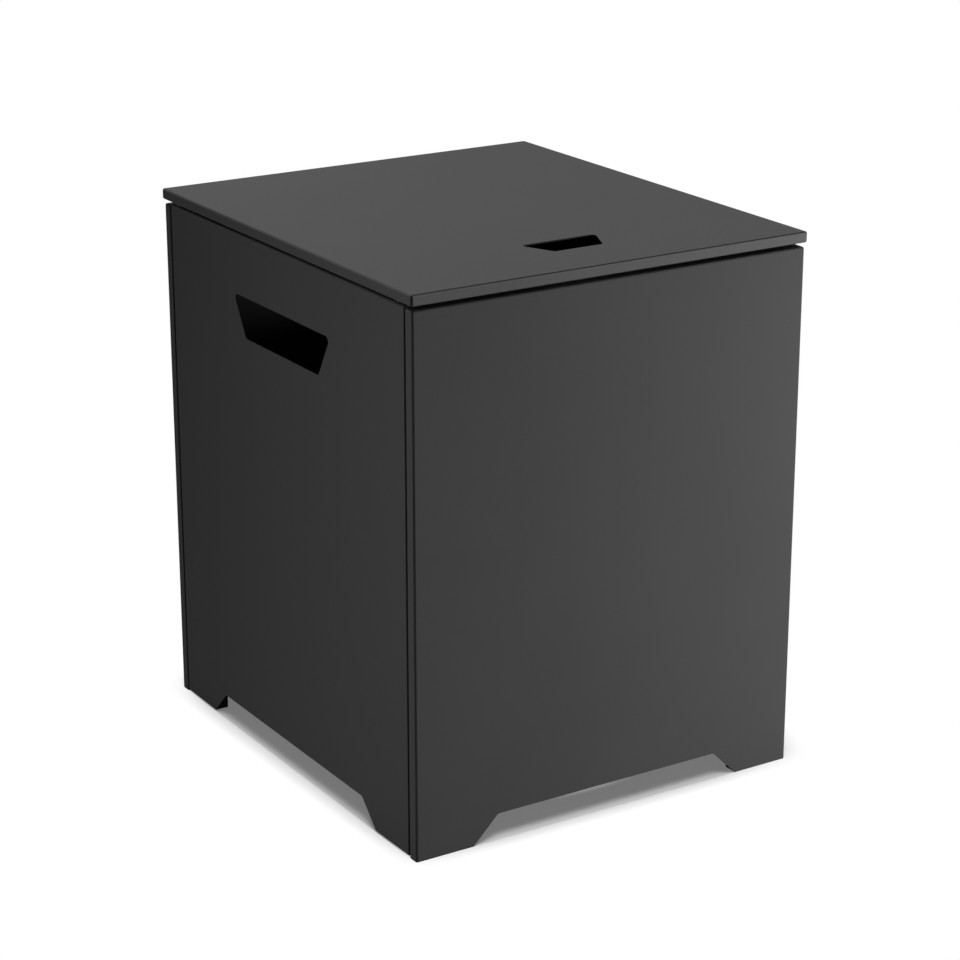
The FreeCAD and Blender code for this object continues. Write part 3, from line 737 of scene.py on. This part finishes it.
for corner in CORNERS:
    is_front = corner.startswith("front")
    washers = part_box(f"seam_washers_{corner}")
    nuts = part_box(f"seam_nuts_{corner}")
    outer, inner = washers if is_front else washers[::-1]
    nut_seat = nuts[0] if is_front else nuts[1]
    seam_row("screws", corner, screw_pattern, inner.y, zinc_plate, FULL_TURN)
    seam_row("washers", corner, washer_pattern, outer.y, zinc_plate, FULL_TURN)
    seam_row("nuts", corner, nut_pattern, nut_seat.y, weld_nut_steel, 0.0)

# %% [markdown]
# The four bumpers are set by the same tree, each as a row of one.

# %% Push the bumpers into the lid
for corner in CORNERS:
    node = f"lid_bumper_{corner}"
    low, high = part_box(node)
    centre = (low + high) / 2
    foot = (centre.x, centre.y, low.z)
    row_piece(node + "_rubber", node, "lid", {
        "Pattern": bumper_pattern,
        "Count": 1,
        "Start": foot,
        "End": foot,
        "Turn": (0.0, 0.0, 0.0),
        "Spin": 0.0,
        "Seed": 0,
        "Finish": bumper_rubber,
    })

# %% [markdown]
# The foot channels are held by short stitches of weld where their legs stand on the panel. A stitch
# is a row of overlapping scales, one for each dab of the torch, so the row tree lays it as well: a
# flat dome is the scale, and it leans out of the corner at 45 degrees. The parts are welded before
# they are coated, so the beads wear the same dark coat.

# %% Make the pattern of a weld scale
SCALE_RADIUS = 1.6 * MM
SCALE_HEIGHT = 1.0 * MM
SCALE_STEP = 1.15 * MM
SCALE_ROOT = 0.3 * MM
SCALE_LIFT = 0.45 * MM
SCALE_POINTS = 16
SCALE_STEPS = 5
SCALES_PER_STITCH = 20
STITCH_SEED = 7


def scale_rings():
    rings = [(SCALE_RADIUS, -SCALE_ROOT)]
    for i in range(SCALE_STEPS):
        lean = math.pi / 2 * i / SCALE_STEPS
        rings.append((SCALE_RADIUS * math.cos(lean), SCALE_HEIGHT * math.sin(lean)))
    return rings


scale_pattern = stacked_rings("weld_scale_pattern", scale_rings(), black_and_shade_coat, points=SCALE_POINTS)

# %% Stitch the foot channels to their panels
def stitch(name, corner, outward):
    """A vertical stitch that starts in a corner and looks towards outward, inside both sheets."""
    length = SCALE_STEP * (SCALES_PER_STITCH - 1)
    start = corner + outward.normalized() * SCALE_LIFT
    piece = lay_row(name, {
        "Pattern": scale_pattern,
        "Count": SCALES_PER_STITCH,
        "Start": start,
        "End": start + Vector((0.0, 0.0, length)),
        "Turn": outward.to_track_quat("Z", "Y").to_euler(),
        "Spin": FULL_TURN,
        "Seed": STITCH_SEED,
        "Finish": black_and_shade_coat,
    })
    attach(piece, "cabinet")
    return piece


def stitch_corner(low, high, on_end_panel, side):
    """Where a leg of a channel meets its panel, and the way out of that corner."""
    centre = (low + high) / 2
    start = centre.z - SCALE_STEP * SCALES_PER_STITCH / 2
    if on_end_panel:
        inward = -1 if centre.y > 0 else 1
        corner = (high.x if side > 0 else low.x, low.y if inward > 0 else high.y, start)
        return Vector(corner), Vector((side, inward, 0.0))
    inward = -1 if centre.x > 0 else 1
    corner = (low.x if inward > 0 else high.x, high.y if side > 0 else low.y, start)
    return Vector(corner), Vector((inward, side, 0.0))


for node in sorted(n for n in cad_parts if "foot_channel" in n):
    low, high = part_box(node)
    faces = 0
    for side, name in ((-1, "first"), (1, "second")):
        corner, outward = stitch_corner(low, high, node.startswith("end"), side)
        faces += len(stitch(f"{node}_{name}_stitch", corner, outward).data.polygons)
    print(node, "has two stitches with", faces, "faces")

# %% [markdown]
# The lid's stiffeners are spot welded through their wings. Each spot leaves a shallow round crater
# with a faint rim, about 6 mm across, pressed in by the copper tip of the welder.

# %% Press the spot welds into the stiffeners' wings
SPOT_RADIUS = 3.0 * MM
SPOT_RIM = 0.22 * MM
SPOT_ROOT = 0.1 * MM
SPOT_POINTS = 32
SPOTS_PER_WING = 6
SPOT_SEED = 11
WING = 10.0 * MM
CRATER = ((1.0, 0.5), (0.94, 1.0), (0.82, 1.0), (0.7, 0.3), (0.2, 0.1))


def spot_rings():
    """A crater whose rings are shares of the spot's radius and of its rim's height."""
    rings = [(SPOT_RADIUS * reach, SPOT_RIM * height) for reach, height in CRATER]
    return [(SPOT_RADIUS, -SPOT_ROOT)] + rings


spot_pattern = stacked_rings("spot_weld_pattern", spot_rings(), black_and_shade_coat, points=SPOT_POINTS)
for side in ("left", "right"):
    low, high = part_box(f"lid_stiffener_{side}")
    for name, across in (("first", low.x + WING / 2), ("second", high.x - WING / 2)):
        margin = (high.y - low.y) / SPOTS_PER_WING / 2
        spots = lay_row(f"lid_stiffener_{side}_{name}_spots", {
            "Pattern": spot_pattern,
            "Count": SPOTS_PER_WING,
            "Start": (across, low.y + margin, high.z - SHEET),
            "End": (across, high.y - margin, high.z - SHEET),
            "Turn": (math.pi, 0.0, 0.0),
            "Spin": FULL_TURN,
            "Seed": SPOT_SEED,
            "Finish": black_and_shade_coat,
        })
        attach(spots, "lid")
        print(spots.name, "has", len(spots.data.polygons), "faces")

# %% [markdown]
# The studio is a white floor under soft light. A floor that is lit evenly far behind the table
# would need a hall full of lamps, so the floor has two faces. What the eye and a mirror see is
# white paper, and from a hand's width off the box's sides it shines by itself, up to the horizon.
# What falls back on the box by bounce comes from a dark floor, because white paper would light
# every bend from below and wash out the dark seams. Under the box and close to it the paper
# glows only faintly, so the box keeps its shadow.

# %% Lay the floor
FLOOR_SIZE = 40.0
SEEN_PAPER = 0.82
BOUNCING_PAPER = 0.25
PAPER_ROUGHNESS = 0.9
SHADOW_GLOW = 0.17
GLOW_START = 0.255
GLOW_FULL = 0.33


def seen_rays(finish):
    """1 for rays that come from the eye, a mirror or a glass, and 0 for bounced light."""
    camera = finish.node("ShaderNodeLightPath", output="Is Camera Ray")
    mirror = finish.node("ShaderNodeLightPath", output="Is Glossy Ray")
    glass = finish.node("ShaderNodeLightPath", output="Is Transmission Ray")
    return (camera + mirror + glass).math("MINIMUM", 1.0)


def studio_paper():
    paper = Finish("studio_floor")
    seen = seen_rays(paper)
    settings = {"operation": "LENGTH"}
    reach = paper.node("ShaderNodeVectorMath", settings, {0: paper.place()}, output="Value")
    far = reach.between(GLOW_START, GLOW_FULL)
    black, bounced, shown, white = [
        (shade, shade, shade, 1.0) for shade in (0.0, BOUNCING_PAPER, SEEN_PAPER, 1.0)
    ]
    lit = paper.mix(seen, bounced, paper.mix(far, shown, black))
    glow = paper.mix(seen * (SHADOW_GLOW + (1.0 - SHADOW_GLOW) * far), black, white)
    return paper.shade(Base_Color=lit, Emission_Color=glow, Emission_Strength=1.0,
                       Roughness=PAPER_ROUGHNESS, Specular_IOR_Level=0.0)


half = FLOOR_SIZE / 2
floor_corners = [(-half, -half, 0.0), (half, -half, 0.0), (half, half, 0.0), (-half, half, 0.0)]
floor_mesh = bpy.data.meshes.new("studio_floor")
floor_mesh.from_pydata(floor_corners, [], [(0, 1, 2, 3)])
floor_mesh.materials.append(studio_paper())
floor = bpy.data.objects.new("studio_floor", floor_mesh)
bpy.context.scene.collection.objects.link(floor)
print("Floor glows from", GLOW_START, "m to", GLOW_FULL, "m off the middle")

# %% [markdown]
# Four lamps light the table. A small one high above makes the floor white, lights the lid and
# draws the narrow shadow round the feet and under the arches, and it hardly touches upright
# faces. A near one low on the right lights the front, brighter towards the right edge. A weak one
# far back on the left grazes the left side, and one at the back keeps the back from going black in
# other views. A photographer keeps such low lamps off the floor with black cards, and light
# linking does that here, so they throw no second shadow. A fifth lamp lights the floor alone, from
# the front: it reaches a little way under the arches and softens the shadow's edge. Nothing shines
# on the table from where the camera stands, so each bend that faces the camera stays dark. Together
# with the painted shade of the black coat, this draws the corner line and the seams.

# %% Say what a lamp may light
def light_group(name, link_state):
    """A collection that tells a lamp to light the floor alone or to spare it."""
    group = bpy.data.collections.new(name)
    group.objects.link(floor)
    group.collection_objects[0].light_linking.link_state = link_state
    return group


floor_alone = light_group("floor_alone", "INCLUDE")
all_but_floor = light_group("all_but_floor", "EXCLUDE")
print("Light groups:", floor_alone.name, all_but_floor.name)

# %% Hang the lamps
def soft_lamp(name, place, aim, size, power, spread=180.0, lights=None):
    light = bpy.data.lights.new(name, "AREA")
    light.shape = "RECTANGLE"
    light.size, light.size_y = size
    light.energy = power
    light.spread = math.radians(spread)
    lamp = bpy.data.objects.new(name, light)
    lamp.location = place
    lamp.rotation_euler = (Vector(aim) - Vector(place)).to_track_quat("-Z", "Y").to_euler()
    lamp.visible_camera = False
    lamp.light_linking.receiver_collection = lights
    bpy.context.scene.collection.objects.link(lamp)
    distance = (Vector(place) - Vector(aim)).length
    print(name, "hangs", round(distance, 2), "m off and gives", power, "W")


soft_lamp("top_lamp", place=(-0.13, -0.15, 6.0), aim=(-0.13, -0.15, 0.0), size=(0.4, 0.4),
          power=311.0)
soft_lamp("right_lamp", place=(1.15, -0.85, 0.28), aim=(0.0, 0.0, 0.25), size=(0.6, 0.6),
          power=32.5, lights=all_but_floor)
soft_lamp("left_lamp", place=(-1.3, 1.3, 0.38), aim=(-0.2, -0.6, 0.3), size=(0.4, 0.85),
          power=1.05, spread=25.0, lights=all_but_floor)
soft_lamp("back_lamp", place=(0.5, 1.7, 0.35), aim=(0.0, 0.2, 0.25), size=(0.5, 0.5),
          power=18.0, lights=all_but_floor)
soft_lamp("floor_lamp", place=(-0.65, -1.15, 2.5), aim=(0.0, 0.0, 0.0), size=(1.0, 1.0),
          power=33.0, lights=floor_alone)

# %% [markdown]
# Above the horizon the world plays the white backdrop. It is white to the eye and to a mirror, and
# only a faint fill light to everything else, so the backdrop puts no more light on the table.

# %% Make the world white to the eye and dim to everything else
FILL_LIGHT = 0.05


def studio_world():
    sky = Finish("studio_world", world=bpy.data.worlds.new("studio_world"))
    strength = FILL_LIGHT + (1.0 - FILL_LIGHT) * seen_rays(sky)
    return sky.shade(Color=(1.0, 1.0, 1.0, 1.0), Strength=strength)


bpy.context.scene.world = studio_world()
bpy.context.scene.view_settings.view_transform = "Standard"
print("The world fills at", FILL_LIGHT)

# %% [markdown]
# The camera stands where the photograph was taken from: in front and to the left of the box, at
# the height of a person who sits, with a long lens. Its place was worked out from the box's own
# edges in the photograph. The angles are in degrees: the turn about the vertical and the dip below
# the horizon.

# %% Set up the camera
CAMERA_PLACE = (-1.2725, -2.0319, 1.073)
CAMERA_TURN = -32.18
CAMERA_DIP = 19.0
CAMERA_LENS = 101.1
CAMERA_SENSOR = 36.0

camera_data = bpy.data.cameras.new("camera")
camera_data.lens = CAMERA_LENS
camera_data.sensor_width = CAMERA_SENSOR
camera = bpy.data.objects.new("camera", camera_data)
camera.location = CAMERA_PLACE
camera.rotation_euler = (math.radians(90.0 - CAMERA_DIP), 0.0, math.radians(CAMERA_TURN))
bpy.context.scene.collection.objects.link(camera)
bpy.context.scene.camera = camera
print("The camera stands", round(camera.location.length, 2), "m from the middle of the floor")
